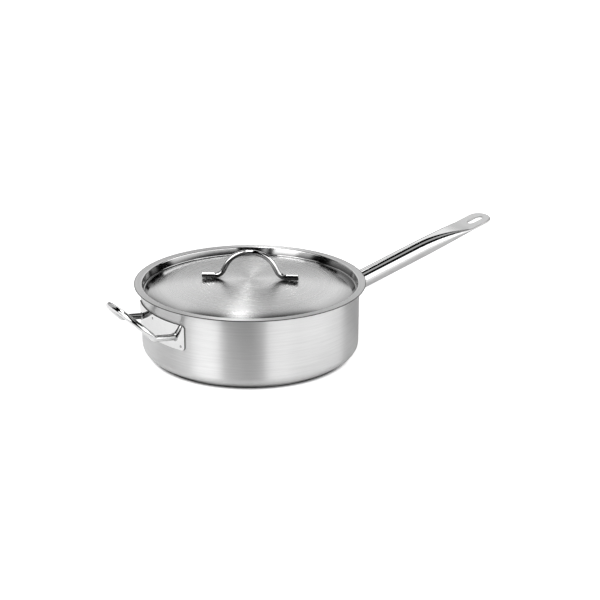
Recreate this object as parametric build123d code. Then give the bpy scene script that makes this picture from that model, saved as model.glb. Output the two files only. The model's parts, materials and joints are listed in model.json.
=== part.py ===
# A straight-sided saute pan with its lid, in stainless steel.
# Millimetres, Z up. The origin is the centre of the flat underside of the base.
# The long handle points along X, and the helper handle along minus X.
import os
from math import asin, cos, radians, sin, sqrt, tan
from build123d import *

# Pan shell: a deep drawn pot with a lip that turns outward to pour from
inner_diameter = 280.0
wall_thickness = 0.8
rim_height = 95.5
corner_radius = 12.0
lip_reach = 6.5
lip_bend_radius = 2.5

# Sandwich base: an aluminium plate closed in by a thin steel cap
core_thickness = 5.0
cap_thickness = 0.6
cap_inset = 11.8
cap_edge_radius = 4.6
core_clearance = 0.1

# Lid: a flat flange, a sunk wall, a sloping shoulder and a shallow dome
lid_overhang = 1.6
lid_thickness = 0.8
lid_clearance = 0.8
lid_depth = 11.5
lid_taper = 0.6
lid_crown = 2.6
lid_dome_radius = 1000.0
lid_shoulder_width = 37.8
lid_flange_bend = 1.4
lid_crease_bend = 1.6

# Lid handle: one bent rod with two feet
bow_rod = 7.0
bow_length = 125.0
bow_height = 31.8
bow_leg_angle = 63.4
bow_crown_radius = 31.2
bow_foot_bend = 12.6
bow_foot_length = 16.2
bow_turn = -37.5
bow_seat = 0.3
bow_end_round = 0.6
bow_weld_diameter = 3.6
bow_weld_inset = 4.5

# Brackets: sheets rolled to the wall, with spot welds near their corners
bracket_thickness = 1.5
bracket_seat = 0.05
bracket_corner = 4.0
spot_diameter = 3.2
spot_dimple = 0.3
spot_inset = 5.0

# Long handle: a round tube pressed flat towards its end
tube_diameter = 25.4
tube_wall = 1.2
tube_rise = 14.7
tube_below_rim = 40.5
tube_length = 263.5
press_length = 90.0
flat_length = 43.5
flat_width = 39.6
flat_thickness = 3.0
flat_edge_round = 1.45
pressed_slit = 0.5
tip_length = 16.0
slot_length = 25.0
slot_width = 11.5
slot_to_tip = 21.0
slot_edge_round = 0.4
root_bracket_width = 62.0
root_bracket_height = 44.0
root_weld = 2.6

# Helper handle: one bent rod with two arms and a round grip that tips up
loop_rod = 8.0
arm_spacing = 86.5
arm_below_rim = 34.9
arm_length = 27.3
arm_rise = 7.5
grip_tilt = 46.0
grip_bend = 6.0
grip_straight = 0.4
loop_bracket_width = 115.6
loop_bracket_height = 32.2
loop_bracket_below_rim = 17.6
loop_weld = 1.2

# Shares of the press, from the round tube to the flat end
press_station_shares = (0.0, 0.25, 0.5, 0.75, 1.0)
# Half of the angle at which the top and the bottom of the round tube are split
press_split_angle = 2.0
overrun = 5.0

wall_radius = inner_diameter / 2 + wall_thickness
lip_radius = wall_radius + lip_reach
floor_height = cap_thickness + core_thickness
cap_radius = wall_radius - cap_inset
lid_radius = lip_radius + lid_overhang
lid_wall_radius = inner_diameter / 2 - lid_clearance - lid_thickness
lid_top = rim_height + lid_thickness
bracket_inner_radius = wall_radius + bracket_seat
bracket_outer_radius = bracket_inner_radius + bracket_thickness
tube_height = rim_height - tube_below_rim
press_end = tube_length - flat_length
press_start = press_end - press_length
arm_height = rim_height - arm_below_rim
loop_bracket_bottom = rim_height - loop_bracket_below_rim - loop_bracket_height


def bent_sheet(path, thickness, side):
    """The section of a sheet: one of its surfaces, and the thickness to one side."""
    return Face(path.offset_2d(thickness, kind=Kind.ARC, side=side, closed=True))


def turned(section):
    """Turn a section, drawn as radius and height, about the vertical axis."""
    return revolve(Plane.XZ * section, Axis.Z)


def wall_ring(inner, outer, bottom, height):
    """An upright ring about the pan's axis."""
    lifted = Location((0, 0, bottom))
    flat = (Align.CENTER, Align.CENTER, Align.MIN)
    bore = Location((0, 0, bottom - overrun)) * Cylinder(inner, height + 2 * overrun, align=flat)
    return lifted * Cylinder(outer, height, align=flat) - bore


def pan_shell():
    """Floor, corner, straight wall and pouring lip, drawn along the outer surface."""
    lip_underside = rim_height - wall_thickness
    corners = [
        (0, floor_height),
        (wall_radius, floor_height),
        (wall_radius, lip_underside),
        (lip_radius, lip_underside),
    ]
    outside = Wire(FilletPolyline(*corners, radius=[corner_radius, lip_bend_radius]).edges())
    return turned(bent_sheet(outside, wall_thickness, Side.LEFT))


def base_cap():
    """The thin cap under the base, with its edge turned up to the floor of the pan."""
    corners = [(0, 0), (cap_radius, 0), (cap_radius, floor_height)]
    outside = Wire(FilletPolyline(*corners, radius=cap_edge_radius).edges())
    return turned(bent_sheet(outside, cap_thickness, Side.LEFT))


def base_core():
    """The aluminium plate between the floor of the pan and the cap."""
    radius = cap_radius - cap_thickness - core_clearance
    plate = Location((0, 0, cap_thickness)) * Cylinder(
        radius, core_thickness, align=(Align.CENTER, Align.CENTER, Align.MIN)
    )
    lower_edge = plate.edges().filter_by(GeomType.CIRCLE).sort_by(Axis.Z)[0]
    return fillet(lower_edge, cap_edge_radius - cap_thickness)


def lid_surface_height(radius):
    """Height of the lid's upper surface on its dome, at a distance from its centre."""
    centre = lid_top + lid_crown - lid_dome_radius
    return centre + sqrt(lid_dome_radius**2 - radius**2)


def lid_plate():
    """The lid's sheet, drawn along its upper surface from the flange to the centre."""
    crease = (lid_wall_radius - lid_taper, lid_top - lid_depth)
    dome_edge = lid_wall_radius - lid_taper - lid_shoulder_width
    dome_end = (dome_edge, lid_surface_height(dome_edge))
    slope = asin(dome_edge / lid_dome_radius)
    outward = (cos(slope), -sin(slope))
    centre = (0, lid_top + lid_crown)
    flange = Line((lid_radius, lid_top), (lid_wall_radius, lid_top))
    sunk_wall = Line((lid_wall_radius, lid_top), crease)
    shoulder = TangentArc(dome_end, crease, tangent=outward)
    half_way = dome_edge / 2
    dome = ThreePointArc(dome_end, (half_way, lid_surface_height(half_way)), centre)
    surface = Wire([flange, sunk_wall, shoulder, dome])
    by_radius = surface.vertices().sort_by(Axis.X)
    surface = surface.fillet_2d(lid_flange_bend, [by_radius[-2]])
    crease_vertex = surface.vertices().sort_by(Axis.Y)[0]
    surface = surface.fillet_2d(lid_crease_bend, [crease_vertex])
    return turned(bent_sheet(surface, lid_thickness, Side.LEFT))


def bow_axis_height():
    """Height of the feet's axis: they stand just clear of the dome."""
    inner_end = bow_length / 2 - bow_foot_length
    return lid_surface_height(inner_end) + bow_seat + bow_rod / 2


def bow_plane():
    """Upright plane of the lid handle, turned about the lid's centre."""
    turn = radians(bow_turn)
    along = (cos(turn), sin(turn), 0)
    return Plane(origin=(0, 0, bow_axis_height()), x_dir=along, z_dir=(sin(turn), -cos(turn), 0))


def lid_handle():
    """The rod: two level feet, two sloping legs and a rounded crown."""
    lean = radians(bow_leg_angle)
    foot_corner = bow_length / 2 - bow_foot_length - bow_foot_bend * tan(lean / 2)
    crown_corner = foot_corner - bow_height / tan(lean)
    corners = [
        (-bow_length / 2, 0),
        (-foot_corner, 0),
        (-crown_corner, bow_height),
        (crown_corner, bow_height),
        (foot_corner, 0),
        (bow_length / 2, 0),
    ]
    bends = [bow_foot_bend, bow_crown_radius, bow_crown_radius, bow_foot_bend]
    path = bow_plane() * Wire(FilletPolyline(*corners, radius=bends).edges())
    section = Plane(origin=path @ 0, z_dir=path % 0) * Circle(bow_rod / 2)
    rod = sweep(section, path)
    ends = rod.faces().filter_by(GeomType.PLANE).edges()
    return fillet(ends, bow_end_round)


def lid_handle_welds():
    """Two welds under each foot, from the dome up to the rod."""
    plane = bow_plane()
    top = bow_axis_height()
    bore_reach = bow_length + overrun
    rod_line = plane * (Rotation(0, 90, 0) * Cylinder(bow_rod / 2, bore_reach))
    dome = Location((0, 0, lid_top + lid_crown - lid_dome_radius)) * Sphere(lid_dome_radius)
    upright = (Align.CENTER, Align.CENTER, Align.MAX)
    outer = bow_length / 2 - bow_weld_inset
    inner = bow_length / 2 - bow_foot_length + bow_weld_inset
    welds = []
    for reach in (-outer, -inner, inner, outer):
        foot = plane.from_local_coords((reach, 0, 0))
        column = Location((foot.X, foot.Y, top)) * Cylinder(
            bow_weld_diameter / 2, bow_rod / 2 + bow_seat + overrun, align=upright
        )
        welds.append((column - rod_line - dome).solids().sort_by(Axis.Z)[-1])
    return Compound(children=welds)


def bracket(width, height, bottom, direction):
    """A sheet rolled to the wall, on the side of the pan that direction names."""
    ring = wall_ring(bracket_inner_radius, bracket_outer_radius, bottom, height)
    middle = Plane(
        origin=(0, 0, bottom + height / 2), x_dir=(0, direction, 0), z_dir=(direction, 0, 0)
    )
    outline = middle * RectangleRounded(width, height, bracket_corner)
    return ring & extrude(outline, bracket_outer_radius + overrun)


def spot_plane(across, height, direction):
    """Plane at the wall, square to it, for a spot at a distance across the bracket."""
    turn = asin(across / bracket_outer_radius)
    outward = (direction * cos(turn), sin(turn), 0)
    foot = (wall_radius * outward[0], wall_radius * outward[1], height)
    return Plane(origin=foot, x_dir=(0, 0, 1), z_dir=outward)


def spot_holes(places, direction):
    """Bores for the spot welds, through the bracket alone."""
    reach = bracket_seat + bracket_thickness
    upward = (Align.CENTER, Align.CENTER, Align.MIN)
    bores = []
    for across, height in places:
        bore = Cylinder(spot_diameter / 2, reach + overrun, align=upward)
        bores.append(spot_plane(across, height, direction) * bore)
    return bores


def spot_welds(places, direction, bottom, height):
    """The welds: metal from the wall to just below the face of the bracket."""
    ring = wall_ring(wall_radius, bracket_outer_radius - spot_dimple, bottom, height)
    welds = [(ring & bore).solids()[0] for bore in spot_holes(places, direction)]
    return Compound(children=welds)


def loop_spots():
    """Spots of the helper bracket, two near each end and one above and below the middle."""
    across = loop_bracket_width / 2 - spot_inset
    low = loop_bracket_bottom + spot_inset
    high = loop_bracket_bottom + loop_bracket_height - spot_inset
    return [(-across, low), (-across, high), (0, low), (0, high), (across, low), (across, high)]


def root_spots():
    """Spots of the long handle's bracket, one near each corner."""
    across = root_bracket_width / 2 - spot_inset
    reach = root_bracket_height / 2 - spot_inset
    sides = (-1, 1)
    return [(s * across, tube_height + t * reach) for s in sides for t in sides]


def helper_handle_plate():
    """The helper handle's bracket with the bores of its spot welds."""
    plate = bracket(loop_bracket_width, loop_bracket_height, loop_bracket_bottom, -1)
    return plate - spot_holes(loop_spots(), -1)


def helper_plate_spot_welds():
    return spot_welds(loop_spots(), -1, loop_bracket_bottom, loop_bracket_height)


def long_handle_bracket():
    """The long handle's bracket with the bores of its spot welds."""
    bottom = tube_height - root_bracket_height / 2
    plate = bracket(root_bracket_width, root_bracket_height, bottom, 1)
    return plate - spot_holes(root_spots(), 1)


def long_handle_spot_welds():
    bottom = tube_height - root_bracket_height / 2
    return spot_welds(root_spots(), 1, bottom, root_bracket_height)


def arm_start(side):
    """Where an arm's axis meets the outer face of the bracket."""
    across = side * arm_spacing / 2
    return Vector(-sqrt(bracket_outer_radius**2 - across**2), across, arm_height)


def arm_direction():
    rise = radians(arm_rise)
    return Vector(-cos(rise), 0, sin(rise))


def loop_path():
    """Axis of the helper handle: arm, bend, half circle, bend and arm."""
    tilt = radians(grip_tilt)
    along_grip = Vector(-cos(tilt), 0, sin(tilt))
    turn = radians(grip_tilt - arm_rise)
    bend_reach = grip_bend * tan(turn / 2)
    inward = arm_direction() * -overrun
    ends = []
    halves = []
    for side in (-1, 1):
        start = arm_start(side)
        corner = start + arm_direction() * arm_length
        end = corner + along_grip * (bend_reach + grip_straight)
        halves.append(FilletPolyline(start + inward, corner, end, radius=grip_bend))
        ends.append(end)
    crown = (ends[0] + ends[1]) * 0.5 + along_grip * (arm_spacing / 2)
    grip = ThreePointArc(ends[0], crown, ends[1])
    return Wire(halves[0].edges() + [grip] + halves[1].edges())


def wall_core(radius):
    """The space inside a radius, which cuts what is welded to the wall."""
    return Cylinder(radius, 2 * rim_height, align=(Align.CENTER, Align.CENTER, Align.CENTER))


def helper_handle():
    """The bent rod, cut to the face of its bracket."""
    path = loop_path()
    section = Plane(origin=path @ 0, z_dir=path % 0) * Circle(loop_rod / 2)
    return sweep(section, path) - wall_core(bracket_outer_radius)


def weld_fillet(foot, outward, along, radius, leg):
    """A ring of weld round a rod, on the bracket's face at the rod's foot."""
    below = (Align.CENTER, Align.CENTER, Align.MIN)
    cone = Location((0, 0, -overrun)) * Cone(radius + leg + overrun, radius, leg + overrun, align=below)
    bead = Plane(origin=foot, z_dir=outward) * cone
    bead -= Plane(origin=foot, z_dir=along) * Cylinder(radius, 4 * (radius + leg + overrun))
    return (bead - wall_core(bracket_outer_radius)).solids().sort_by(SortBy.VOLUME)[-1]


def helper_handle_welds():
    """A small fillet of weld round each arm where it meets the bracket."""
    welds = []
    for side in (-1, 1):
        foot = arm_start(side)
        outward = Vector(foot.X, foot.Y, 0)
        welds.append(weld_fillet(foot, outward, arm_direction(), loop_rod / 2, loop_weld))
    return Compound(children=welds)


def handle_plane():
    """Frame of the long handle: X along its axis from the wall, Y level across it."""
    rise = radians(tube_rise)
    along = (cos(rise), 0, sin(rise))
    return Plane(origin=(wall_radius, 0, tube_height), x_dir=along, z_dir=(-sin(rise), 0, cos(rise)))


def press_station(share):
    """Plane square to the handle, at a share of the way from round to flat."""
    reach = press_start + (press_end - press_start) * share
    return Plane(origin=(reach, 0, 0), x_dir=(0, 1, 0), z_dir=(1, 0, 0))


def pressed_section(share, diameter, width, depth):
    """Outline of the tube: a circle first, then two level sides joined by half circles."""
    pressed = share**2
    high = (diameter + (depth - diameter) * pressed) / 2
    half = (width - depth) / 2 * pressed
    split = radians(press_split_angle)
    if pressed:
        edge = half
        crown = high
        top = Line((-edge, crown), (edge, crown))
        bottom = Line((edge, -crown), (-edge, -crown))
    else:
        edge = high * sin(split)
        crown = high * cos(split)
        top = ThreePointArc((-edge, crown), (0, high), (edge, crown))
        bottom = ThreePointArc((edge, -crown), (0, -high), (-edge, -crown))
    right = ThreePointArc((edge, crown), (half + high, 0), (edge, -crown))
    left = ThreePointArc((-edge, -crown), (-half - high, 0), (-edge, crown))
    return Face(Wire([top, right, bottom, left]))


def tube_form(diameter, width, depth):
    """Round tube from behind the wall, and its pressed stretch, both solid."""
    round_end = Plane(origin=(-overrun - tube_diameter / 2, 0, 0), x_dir=(0, 1, 0), z_dir=(1, 0, 0))
    reach = press_start + overrun + tube_diameter / 2
    straight = extrude(round_end * Circle(diameter / 2), reach)
    sections = []
    for share in press_station_shares:
        sections.append(press_station(share) * pressed_section(share, diameter, width, depth))
    return straight + loft(sections)


def flat_end():
    """The pressed end: a flat strip with a rounded tip and a slot to hang it by."""
    half = flat_width / 2
    tip_start = tube_length - tip_length
    near = Line((tip_start, half), (press_end, half))
    across = Line((press_end, half), (press_end, -half))
    far = Line((press_end, -half), (tip_start, -half))
    tip = EllipticalCenterArc((tip_start, 0), tip_length, half, start_angle=-90, arc_size=180)
    body = extrude(Face(Wire([near, across, far, tip])), flat_thickness / 2, both=True)
    rim = body.faces().sort_by(Axis.Z)[0].edges() + body.faces().sort_by(Axis.Z)[-1].edges()
    body = fillet([edge for edge in rim if (edge @ 0.5).X > press_end + flat_edge_round], flat_edge_round)
    slot = Location((tube_length - slot_to_tip, 0)) * SlotOverall(slot_length, slot_width)
    body -= extrude(slot, flat_thickness / 2 + overrun, both=True)
    slot_rim = [face.inner_wires()[0].edges() for face in body.faces() if face.inner_wires()]
    return fillet([edge for rim in slot_rim for edge in rim], slot_edge_round)


def long_handle():
    """The hollow tube with its pressed end, cut to the face of its bracket."""
    outer = tube_form(tube_diameter, flat_width, flat_thickness)
    inner_diameter_of_tube = tube_diameter - 2 * tube_wall
    inner = tube_form(inner_diameter_of_tube, flat_width - 2 * tube_wall, pressed_slit)
    body = outer + flat_end() - inner
    return handle_plane() * body - wall_core(bracket_outer_radius)


def long_handle_weld():
    """The fillet of weld round the tube where it meets the bracket."""
    along = handle_plane().x_dir
    stand_off = bracket_outer_radius - wall_radius
    foot = handle_plane().origin + along * (stand_off / cos(radians(tube_rise)))
    return weld_fillet(foot, (1, 0, 0), along, tube_diameter / 2, root_weld)


pieces = {
    "pan_shell": pan_shell,
    "base_core": base_core,
    "base_cap": base_cap,
    "long_handle": long_handle,
    "long_handle_bracket": long_handle_bracket,
    "long_handle_weld": long_handle_weld,
    "long_handle_spot_welds": long_handle_spot_welds,
    "helper_handle": helper_handle,
    "helper_handle_plate": helper_handle_plate,
    "helper_handle_welds": helper_handle_welds,
    "helper_plate_spot_welds": helper_plate_spot_welds,
    "lid_plate": lid_plate,
    "lid_handle": lid_handle,
    "lid_handle_welds": lid_handle_welds,
}

os.makedirs("parts", exist_ok=True)
for name, make in pieces.items():
    export_step(make(), f"parts/{name}.step")
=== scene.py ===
import json
from math import cos, degrees, radians, sin

import bpy
from mathutils import Matrix, Vector

WHITE = (1, 1, 1, 1)

# Camera, as fitted to the photograph. It looks at a point beside the pan's axis.
CAMERA_AZIMUTH = -33.6157
CAMERA_ELEVATION = 19.9923
CAMERA_ROLL = 0.4222
CAMERA_DISTANCE = 1.8
CAMERA_RIGHT = 0.0642408
CAMERA_RISE = 0.0695804
SENSOR_WIDTH = 36.0
LENS = 83.41

# Studio, as the metal mirrors it: two directions with the range of each, and the strength.
# Azimuth is counted from the camera to the picture's right, and away is its size to either
# side. Side is the angle out of the upright plane of view, pitch the angle in that plane
# from the camera up and over, and slant the side that leans as the pitch grows.
LIGHTS = {
    "backdrop": ("away", (158.0, 200.0), "elevation", (14.5, 41.5), 1.0),
    "low_card": ("away", (172.0, 188.0), "elevation", (-4.0, 9.0), 0.2),
    "left_wing": ("azimuth", (-154.0, -110.0), "elevation", (0.0, 48.0), 0.5),
    "right_wing": ("azimuth", (139.0, 150.0), "elevation", (12.0, 48.0), 0.4),
    "right_panel": ("azimuth", (17.5, 111.0), "elevation", (-20.0, 42.0), 1.75),
    "right_lamp": ("azimuth", (17.5, 43.0), "elevation", (-20.0, 14.0), 0.8),
    "left_panel": ("azimuth", (-80.0, -28.0), "elevation", (5.0, 72.0), 1.2),
    "left_lamp": ("azimuth", (-60.0, -29.0), "elevation", (5.0, 55.0), 2.4),
    "strip": ("slant", (-19.5, -14.7), "pitch", (38.0, 140.0), 1.1),
    "strip_lamp": ("slant", (-19.5, -14.7), "pitch", (101.0, 119.0), 15.0),
    "ceiling_card": ("side", (12.0, 23.0), "pitch", (60.0, 120.0), 0.45),
}
STRIP_SLANT = 0.105
LIGHT_EDGE = 2.5

# Floor: white paper with a thin painted contact shadow to the camera: its glow stops near
# the pan's foot. The metal sees paper that fades in front of the pan, fades under it as a
# painted shadow, glows more to the left, and has two brighter patches. The starts of a
# patch are distances from the pan's middle, to the right and towards the camera, and its
# last number adds to the glow.
FLOOR_HALF = 4.0
PAPER = 0.85
PAPER_END = (0.24, 0.46)
BEYOND_PAPER = 0.25
CONTACT_EDGE = (0.128, 0.142)
GLOW_SPREAD = 0.3
GLOW_LEFT = 0.38
GLOW_RIGHT = 0.0
CORNER_PATCH = ((0.12, 0.2), (-0.08, 0.0), 0.25)
FRONT_PATCH = ((0.01, 0.08), (0.1, 0.2), 0.3)
SEEN_GLOW = 0.7
SEEN_CONTACT = (0.1275, 0.1335)

# Patterns in the steel, drawn by the part of a noise that lies in PATTERN_RANGE. Lines
# have changes per metre across them and per radian along them, and LINE_TURN, in turns,
# sets the highlights across them. Haze and waves have changes per metre. A shade is that
# of the darkest places, and HAZE_ROUGHNESS holds shares of a material's roughness.
PATTERN_RANGE = (0.3, 0.7)
WALL_LINES = (500.0, 2.5)
RING_LINES = (400.0, 1.2)
LINE_DETAIL = 5.0
LINE_ROUGHNESS = 0.7
LINE_SHADE = 0.9
LINE_TURN = 0.25
HAZE_SCALE = 120.0
HAZE_DETAIL = 3.0
HAZE_SHADE = 0.97
HAZE_ROUGHNESS = (0.7, 1.4)
WAVE_SCALE = 60.0
WAVE_DETAIL = 1.0
PLAIN_ROUGHNESS = 0.5

# Painted shade: ambient occlusion darkens the steel's colour in crevices, between parts and
# under nearby surfaces, most of all on the rods' undersides over the lid. Another surface
# darkens it from as far away as the reach.
CREVICE_SAMPLES = 8
PAINTED_CREVICE_SHADE = 0.12
SHEET_REACH = 0.004
LID_REACH = 0.012
ROD_REACH = 0.06
SHEET_OPENNESS = (0.1, 0.9)
ROD_OPENNESS = (0.5, 1.0)

# Painted shade on the cut edges of the sheets, dark lines for the shadowed gaps under the
# lid's flange and along the rolled plate: beyond this radius on the lid and on the pan's
# lip, and where a rolled plate faces along the wall more than out from it
LID_CUT = 0.1481
LIP_CUT = 0.1468
CUT_EDGE = 0.0002
PAINTED_EDGE_SHADE = 0.12
PLATE_FACING = (0.5, 0.9)

# Lid, by radius: buffed on the sunk wall and in the corner below it, which also darkens
# with painted shade, and rougher on the flange
CORNER_FROM = 0.107
PAINTED_CORNER_SHADE = 0.5
BUFFED_FROM = 0.101
BUFFED_TO = 0.134
SUNK_FROM = 0.1366
SUNK_TO = 0.1398
SUNK_EDGE = 0.0006
SUNK_ROUGHNESS = 0.1
FLANGE_ROUGHNESS = 0.4

# Long handle, where its polish turns into satin: distances from the pan's axis, the
# roughness that the satin adds, and the painted shade that darkens it there
SATIN_START = 0.31
SATIN_END = 0.345
SATIN_ROUGHNESS = 0.25
SATIN_PAINTED_SHADE = 0.85


def view_axes():
    """Right, up and back of the camera without its roll."""
    azimuth = radians(CAMERA_AZIMUTH)
    elevation = radians(CAMERA_ELEVATION)
    level = cos(elevation)
    back = Vector((sin(azimuth) * level, -cos(azimuth) * level, sin(elevation)))
    right = Vector((cos(azimuth), sin(azimuth), 0))
    return right, back.cross(right), back


def level_axes():
    """Level directions to the picture's right and towards the camera."""
    right, _, back = view_axes()
    return right, Vector((back.x, back.y, 0)).normalized()


def make_camera():
    right, up, back = view_axes()
    roll = radians(CAMERA_ROLL)
    rolled_right = right * cos(roll) + up * sin(roll)
    rolled_up = up * cos(roll) - right * sin(roll)
    target = right * CAMERA_RIGHT + Vector((0, 0, CAMERA_RISE))
    data = bpy.data.cameras.new("camera")
    data.lens = LENS
    data.sensor_width = SENSOR_WIDTH
    camera = bpy.data.objects.new("camera", data)
    turn = Matrix((rolled_right, rolled_up, back)).transposed().to_4x4()
    camera.matrix_world = Matrix.Translation(target + back * CAMERA_DISTANCE) @ turn
    bpy.context.scene.collection.objects.link(camera)
    bpy.context.scene.camera = camera


class Nodes:
    """A node tree with short calls to add nodes and join them.

    Inputs are a dictionary by the socket's name or number. Each value is a number, a
    colour, a vector or the output of another node.
    """

    def __init__(self, tree):
        self.tree = tree
        tree.nodes.clear()

    def add(self, kind, inputs=(), **settings):
        node = self.tree.nodes.new(kind)
        for name, value in settings.items():
            setattr(node, name, value)
        for key, value in dict(inputs).items():
            if isinstance(value, bpy.types.NodeSocket):
                self.tree.links.new(value, node.inputs[key])
            else:
                node.inputs[key].default_value = value
        return node

    def math(self, operation, *values):
        inputs = dict(enumerate(values))
        return self.add("ShaderNodeMath", inputs, operation=operation).outputs[0]

    def ramp(self, value, low, high, first=0.0, last=1.0):
        """From first to last, smoothly, as value goes from low to high."""
        inputs = {
            "Value": value,
            "From Min": low,
            "From Max": high,
            "To Min": first,
            "To Max": last,
        }
        node = self.add("ShaderNodeMapRange", inputs, interpolation_type="SMOOTHSTEP")
        return node.outputs[0]

    def mix(self, share, first, second):
        """The number first, turning into second as share goes from zero to one."""
        inputs = {0: share, 2: first, 3: second}
        return self.add("ShaderNodeMix", inputs, data_type="FLOAT").outputs[0]

    def dot(self, vector, axis):
        inputs = {0: vector, 1: axis}
        node = self.add("ShaderNodeVectorMath", inputs, operation="DOT_PRODUCT")
        return node.outputs["Value"]

    def place(self):
        """The point in the object's own frame, which is centred on the pan's axis."""
        return self.add("ShaderNodeTexCoord").outputs["Object"]

    def noise(self, place, scale, detail, roughness=PLAIN_ROUGHNESS):
        inputs = {"Vector": place, "Scale": scale, "Detail": detail, "Roughness": roughness}
        return self.add("ShaderNodeTexNoise", inputs).outputs[0]

    def seen_or_mirrored(self, seen, mirrored):
        """One shader for the camera's own rays and the other for all other rays."""
        camera_ray = self.add("ShaderNodeLightPath").outputs["Is Camera Ray"]
        inputs = {0: camera_ray, 1: mirrored, 2: seen}
        return self.add("ShaderNodeMixShader", inputs).outputs[0]


def new_material(name):
    """The emptied nodes of the material of that name."""
    material = bpy.data.materials.get(name) or bpy.data.materials.new(name)
    material.use_nodes = True
    return Nodes(material.node_tree)


def polar(nodes):
    """Place on the unit circle about the pan's axis, distance from the axis and height."""
    x, y, z = nodes.add("ShaderNodeSeparateXYZ", {"Vector": nodes.place()}).outputs
    squares = nodes.math("ADD", nodes.math("MULTIPLY", x, x), nodes.math("MULTIPLY", y, y))
    radius = nodes.math("SQRT", squares)
    circle = (nodes.math("DIVIDE", x, radius), nodes.math("DIVIDE", y, radius))
    return circle, radius, z


def axis_distance(nodes):
    return polar(nodes)[1]


def streaks(nodes, across, circle, per_metre, per_radian):
    """Noise drawn out round the pan, that changes quickly along the across coordinate."""
    x, y = (nodes.math("MULTIPLY", value, per_radian) for value in circle)
    inputs = {"X": x, "Y": y, "Z": nodes.math("MULTIPLY", across, per_metre)}
    place = nodes.add("ShaderNodeCombineXYZ", inputs).outputs[0]
    return nodes.noise(place, 1.0, LINE_DETAIL, LINE_ROUGHNESS)


def wall_lines(nodes):
    circle, _, height = polar(nodes)
    return streaks(nodes, height, circle, *WALL_LINES)


def ring_lines(nodes):
    circle, radius, _ = polar(nodes)
    return streaks(nodes, radius, circle, *RING_LINES)


def painted_occlusion_shade(nodes, shade, reach, limits):
    """The colour darkened by painted shade: ambient occlusion in crevices and under nearby
    surfaces.
    """
    inputs = {"Color": WHITE, "Distance": reach}
    node = nodes.add("ShaderNodeAmbientOcclusion", inputs, samples=CREVICE_SAMPLES)
    openness = nodes.ramp(node.outputs["AO"], *limits, PAINTED_CREVICE_SHADE, 1.0)
    return nodes.math("MULTIPLY", shade, openness)


def rim_shading(nodes, cut):
    """Factor on a round sheet's colour, with painted shade on its edge beyond the cut."""
    radius = axis_distance(nodes)
    return nodes.ramp(radius, cut - CUT_EDGE, cut + CUT_EDGE, 1.0, PAINTED_EDGE_SHADE)


# Painted shade on the edge of the pan's lip, in the gap under the lid's flange.
def lip_shading(nodes):
    return rim_shading(nodes, LIP_CUT)


def lid_shading(nodes):
    """Painted shade: darker at the cut edge and towards the corner below the sunk wall."""
    radius = axis_distance(nodes)
    corner = nodes.ramp(radius, CORNER_FROM, SUNK_FROM - SUNK_EDGE, 1.0, PAINTED_CORNER_SHADE)
    sunk = nodes.ramp(radius, SUNK_FROM - SUNK_EDGE, SUNK_FROM + SUNK_EDGE)
    return nodes.math("MULTIPLY", nodes.mix(sunk, corner, 1.0), rim_shading(nodes, LID_CUT))


def plate_shading(nodes):
    """Painted shade: darker on the cut edges of a plate rolled about the pan's axis."""
    x, y = polar(nodes)[0]
    outward = nodes.add("ShaderNodeCombineXYZ", {"X": x, "Y": y}).outputs[0]
    normal = nodes.add("ShaderNodeNewGeometry").outputs["True Normal"]
    facing = nodes.math("ABSOLUTE", nodes.dot(normal, outward))
    return nodes.ramp(facing, *PLATE_FACING, PAINTED_EDGE_SHADE, 1.0)


def lid_finish(nodes, rough):
    """The sunk wall is smoother than the plate, and the flange outside it rougher."""
    radius = axis_distance(nodes)
    inside = nodes.ramp(radius, BUFFED_FROM, BUFFED_TO)
    outside = nodes.ramp(radius, SUNK_TO - SUNK_EDGE, SUNK_TO + SUNK_EDGE)
    return nodes.mix(outside, nodes.mix(inside, rough, SUNK_ROUGHNESS), FLANGE_ROUGHNESS)


def satin(nodes):
    """Extra roughness of the long handle's flat end."""
    along_handle = nodes.add("ShaderNodeSeparateXYZ", {"Vector": nodes.place()}).outputs[0]
    return nodes.ramp(along_handle, SATIN_START, SATIN_END, 0.0, SATIN_ROUGHNESS)


def satin_finish(nodes, rough):
    return nodes.math("ADD", rough, satin(nodes))


def satin_shading(nodes):
    """Painted shade: darker on the long handle's flat end."""
    return nodes.ramp(satin(nodes), 0.0, SATIN_ROUGHNESS, 1.0, SATIN_PAINTED_SHADE)


def metal(
    nodes,
    pattern,
    relief,
    shades,
    roughness,
    depth,
    reach=SHEET_REACH,
    openness=SHEET_OPENNESS,
    finish=None,
    shading=None,
    grain=(),
):
    """Bare metal, shaded and roughened by a pattern and uneven by a relief of some depth.

    finish(nodes, rough) changes the roughness in places, and shading(nodes) gives a factor
    on the colour there, which paints shade. Ambient occlusion within the reach, ramped by the
    openness limits, paints shade in crevices and under nearby surfaces. Grain holds more
    shader inputs.
    """
    rough = nodes.ramp(pattern, *PATTERN_RANGE, *roughness)
    if finish:
        rough = finish(nodes, rough)
    # Painted shade darkens the colour: ambient occlusion here, and shading(nodes) below.
    shade = painted_occlusion_shade(nodes, nodes.ramp(pattern, *PATTERN_RANGE, *shades), reach, openness)
    if shading:
        shade = nodes.math("MULTIPLY", shade, shading(nodes))
    bump = nodes.add("ShaderNodeBump", {"Height": relief, "Strength": 1.0, "Distance": depth})
    inputs = {
        "Base Color": shade,
        "Metallic": 1.0,
        "Roughness": rough,
        "Normal": bump.outputs[0],
        **dict(grain),
    }
    shader = nodes.add("ShaderNodeBsdfPrincipled", inputs)
    nodes.add("ShaderNodeOutputMaterial", {"Surface": shader.outputs[0]})


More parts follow.
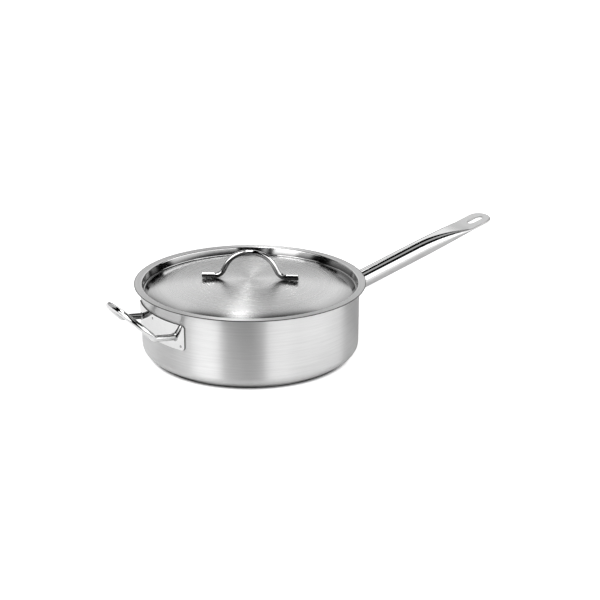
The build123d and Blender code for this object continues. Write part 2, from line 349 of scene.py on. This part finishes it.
def brushed(name, lines, colour, roughness, anisotropy, **look):
    """Steel brushed in rings about the pan's axis. lines(nodes) gives the pattern."""
    nodes = new_material(name)
    pattern = lines(nodes)
    tangent = nodes.add("ShaderNodeTangent", direction_type="RADIAL", axis="Z")
    grain = {
        "Anisotropic": anisotropy,
        "Anisotropic Rotation": LINE_TURN,
        "Tangent": tangent.outputs[0],
    }
    shades = (colour * LINE_SHADE, colour)
    metal(nodes, pattern, pattern, shades, roughness, grain=grain, **look)


def polished(name, colour, roughness, **look):
    """Buffed steel: a mirror with a faint unevenness left by the wheel."""
    nodes = new_material(name)
    place = nodes.place()
    haze = nodes.noise(place, HAZE_SCALE, HAZE_DETAIL)
    wave = nodes.noise(place, WAVE_SCALE, WAVE_DETAIL)
    shades = (colour * HAZE_SHADE, colour)
    metal(nodes, haze, wave, shades, [roughness * share for share in HAZE_ROUGHNESS], **look)


def make_metals():
    """The materials of all slots. A depth is that of the lines or of the unevenness."""
    brushed(
        "brushed_wall",
        wall_lines,
        colour=0.745,
        roughness=(0.31, 0.39),
        anisotropy=0.97,
        depth=0.00002,
        shading=lip_shading,
    )
    brushed(
        "spun_lid",
        ring_lines,
        colour=0.74,
        roughness=(0.24, 0.32),
        anisotropy=0.85,
        depth=0.000004,
        reach=LID_REACH,
        finish=lid_finish,
        shading=lid_shading,
    )
    brushed(
        "base_steel",
        ring_lines,
        colour=0.66,
        roughness=(0.31, 0.39),
        anisotropy=0.9,
        depth=0.00002,
    )
    polished(
        "polished_handle",
        colour=0.78,
        roughness=0.06,
        depth=0.00001,
        finish=satin_finish,
        shading=satin_shading,
    )
    polished(
        "polished_bracket",
        colour=0.8,
        roughness=0.05,
        depth=0.00001,
        shading=plate_shading,
    )
    # The rods get strong painted shade on their undersides over the lid.
    polished(
        "polished_rod",
        colour=0.8,
        roughness=0.04,
        depth=0.00001,
        reach=ROD_REACH,
        openness=ROD_OPENNESS,
    )
    polished("weld_steel", colour=0.45, roughness=0.15, depth=0.00004)
    polished("core_aluminium", colour=0.75, roughness=0.35, depth=0.00002)


def studio_directions(nodes):
    """The directions that LIGHTS names, in degrees."""
    right, to_camera = level_axes()
    look = nodes.add("ShaderNodeTexCoord").outputs["Generated"]
    towards = nodes.dot(look, to_camera)
    aside = nodes.dot(look, right)
    height = nodes.dot(look, Vector((0, 0, 1)))

    def angle(operation, *values):
        return nodes.math("MULTIPLY", nodes.math(operation, *values), degrees(1))

    azimuth = angle("ARCTAN2", aside, towards)
    side = angle("ARCSINE", aside)
    pitch = angle("ARCTAN2", height, towards)
    lean = nodes.math("MULTIPLY", pitch, STRIP_SLANT)
    return {
        "azimuth": azimuth,
        "away": nodes.math("ABSOLUTE", azimuth),
        "elevation": angle("ARCSINE", height),
        "side": side,
        "pitch": pitch,
        "slant": nodes.math("SUBTRACT", side, lean),
    }


def between(nodes, value, low, high):
    """One between low and high, with soft edges."""
    rise = nodes.ramp(value, low - LIGHT_EDGE, low + LIGHT_EDGE)
    fall = nodes.ramp(value, high - LIGHT_EDGE, high + LIGHT_EDGE, 1.0, 0.0)
    return nodes.math("MULTIPLY", rise, fall)


def lit(nodes, directions, first, first_range, second, second_range, strength):
    """Strength of one of the LIGHTS in each direction."""
    inside = nodes.math(
        "MULTIPLY",
        between(nodes, directions[first], *first_range),
        between(nodes, directions[second], *second_range),
    )
    return nodes.math("MULTIPLY", inside, strength)


def make_world():
    """White for the camera. The metal mirrors the LIGHTS, with darkness between them."""
    world = bpy.data.worlds.new("studio")
    bpy.context.scene.world = world
    world.use_nodes = True
    nodes = Nodes(world.node_tree)
    directions = studio_directions(nodes)
    total, *others = [lit(nodes, directions, *light) for light in LIGHTS.values()]
    for light in others:
        total = nodes.math("ADD", total, light)
    studio = nodes.add("ShaderNodeBackground", {"Color": WHITE, "Strength": total})
    white = nodes.add("ShaderNodeBackground", {"Color": WHITE, "Strength": 1.0})
    surface = nodes.seen_or_mirrored(white.outputs[0], studio.outputs[0])
    nodes.add("ShaderNodeOutputWorld", {"Surface": surface})


def glowing_paper(nodes, colour, glow):
    """Dull paper that also gives off a little light of its own."""
    paint = nodes.add("ShaderNodeBsdfDiffuse", {"Color": colour})
    light = nodes.add("ShaderNodeEmission", {"Color": WHITE, "Strength": glow})
    both = nodes.add("ShaderNodeAddShader", {0: paint.outputs[0], 1: light.outputs[0]})
    return both.outputs[0]


def patch(nodes, aside, towards, aside_start, towards_start, glow):
    """Glow of a patch of the floor that begins softly at both starts."""
    inside = nodes.math(
        "MULTIPLY", nodes.ramp(aside, *aside_start), nodes.ramp(towards, *towards_start)
    )
    return nodes.math("MULTIPLY", inside, glow)


def make_floor():
    """The paper that the pan stands on."""
    square = ((-1, -1), (1, -1), (1, 1), (-1, 1))
    mesh = bpy.data.meshes.new("floor")
    places = [(x * FLOOR_HALF, y * FLOOR_HALF, 0) for x, y in square]
    mesh.from_pydata(places, [], [(0, 1, 2, 3)])
    floor = bpy.data.objects.new("floor", mesh)
    bpy.context.scene.collection.objects.link(floor)

    nodes = new_material("floor")
    right, to_camera = level_axes()
    place = nodes.place()
    towards = nodes.dot(place, to_camera)
    aside = nodes.dot(place, right)
    radius = axis_distance(nodes)
    paper = nodes.ramp(towards, *PAPER_END, 1.0, BEYOND_PAPER)
    # Painted shadow: paper and glow fall away under the pan's foot.
    paper = nodes.math("MULTIPLY", paper, nodes.ramp(radius, *CONTACT_EDGE))
    glow = nodes.ramp(aside, -GLOW_SPREAD, GLOW_SPREAD, GLOW_LEFT, GLOW_RIGHT)
    glow = nodes.math("ADD", glow, patch(nodes, aside, towards, *CORNER_PATCH))
    glow = nodes.math("MULTIPLY", paper, glow)
    glow = nodes.math("ADD", glow, patch(nodes, aside, towards, *FRONT_PATCH))
    mirrored = glowing_paper(nodes, nodes.math("MULTIPLY", paper, PAPER), glow)
    # Painted contact shadow: the glow that the camera sees stops near the pan's foot.
    seen_glow = nodes.ramp(radius, *SEEN_CONTACT, 0.0, SEEN_GLOW)
    seen = glowing_paper(nodes, (PAPER, PAPER, PAPER, 1), seen_glow)
    surface = nodes.seen_or_mirrored(seen, mirrored)
    nodes.add("ShaderNodeOutputMaterial", {"Surface": surface})
    mesh.materials.append(bpy.data.materials["floor"])


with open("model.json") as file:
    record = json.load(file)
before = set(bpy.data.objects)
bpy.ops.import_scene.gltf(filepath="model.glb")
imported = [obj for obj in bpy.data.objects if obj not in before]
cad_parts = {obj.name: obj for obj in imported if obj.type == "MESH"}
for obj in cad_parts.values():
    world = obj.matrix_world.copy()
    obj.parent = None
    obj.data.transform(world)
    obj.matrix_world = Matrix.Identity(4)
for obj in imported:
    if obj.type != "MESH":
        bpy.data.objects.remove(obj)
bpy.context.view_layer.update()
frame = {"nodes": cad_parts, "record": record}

make_camera()
make_world()
make_floor()
make_metals()
for part in frame["record"]["subparts"]:
    node = frame["nodes"][part["node"]]
    node.data.materials.clear()
    node.data.materials.append(bpy.data.materials[part["material_slot"]])

bpy.context.scene.view_settings.view_transform = "Standard"
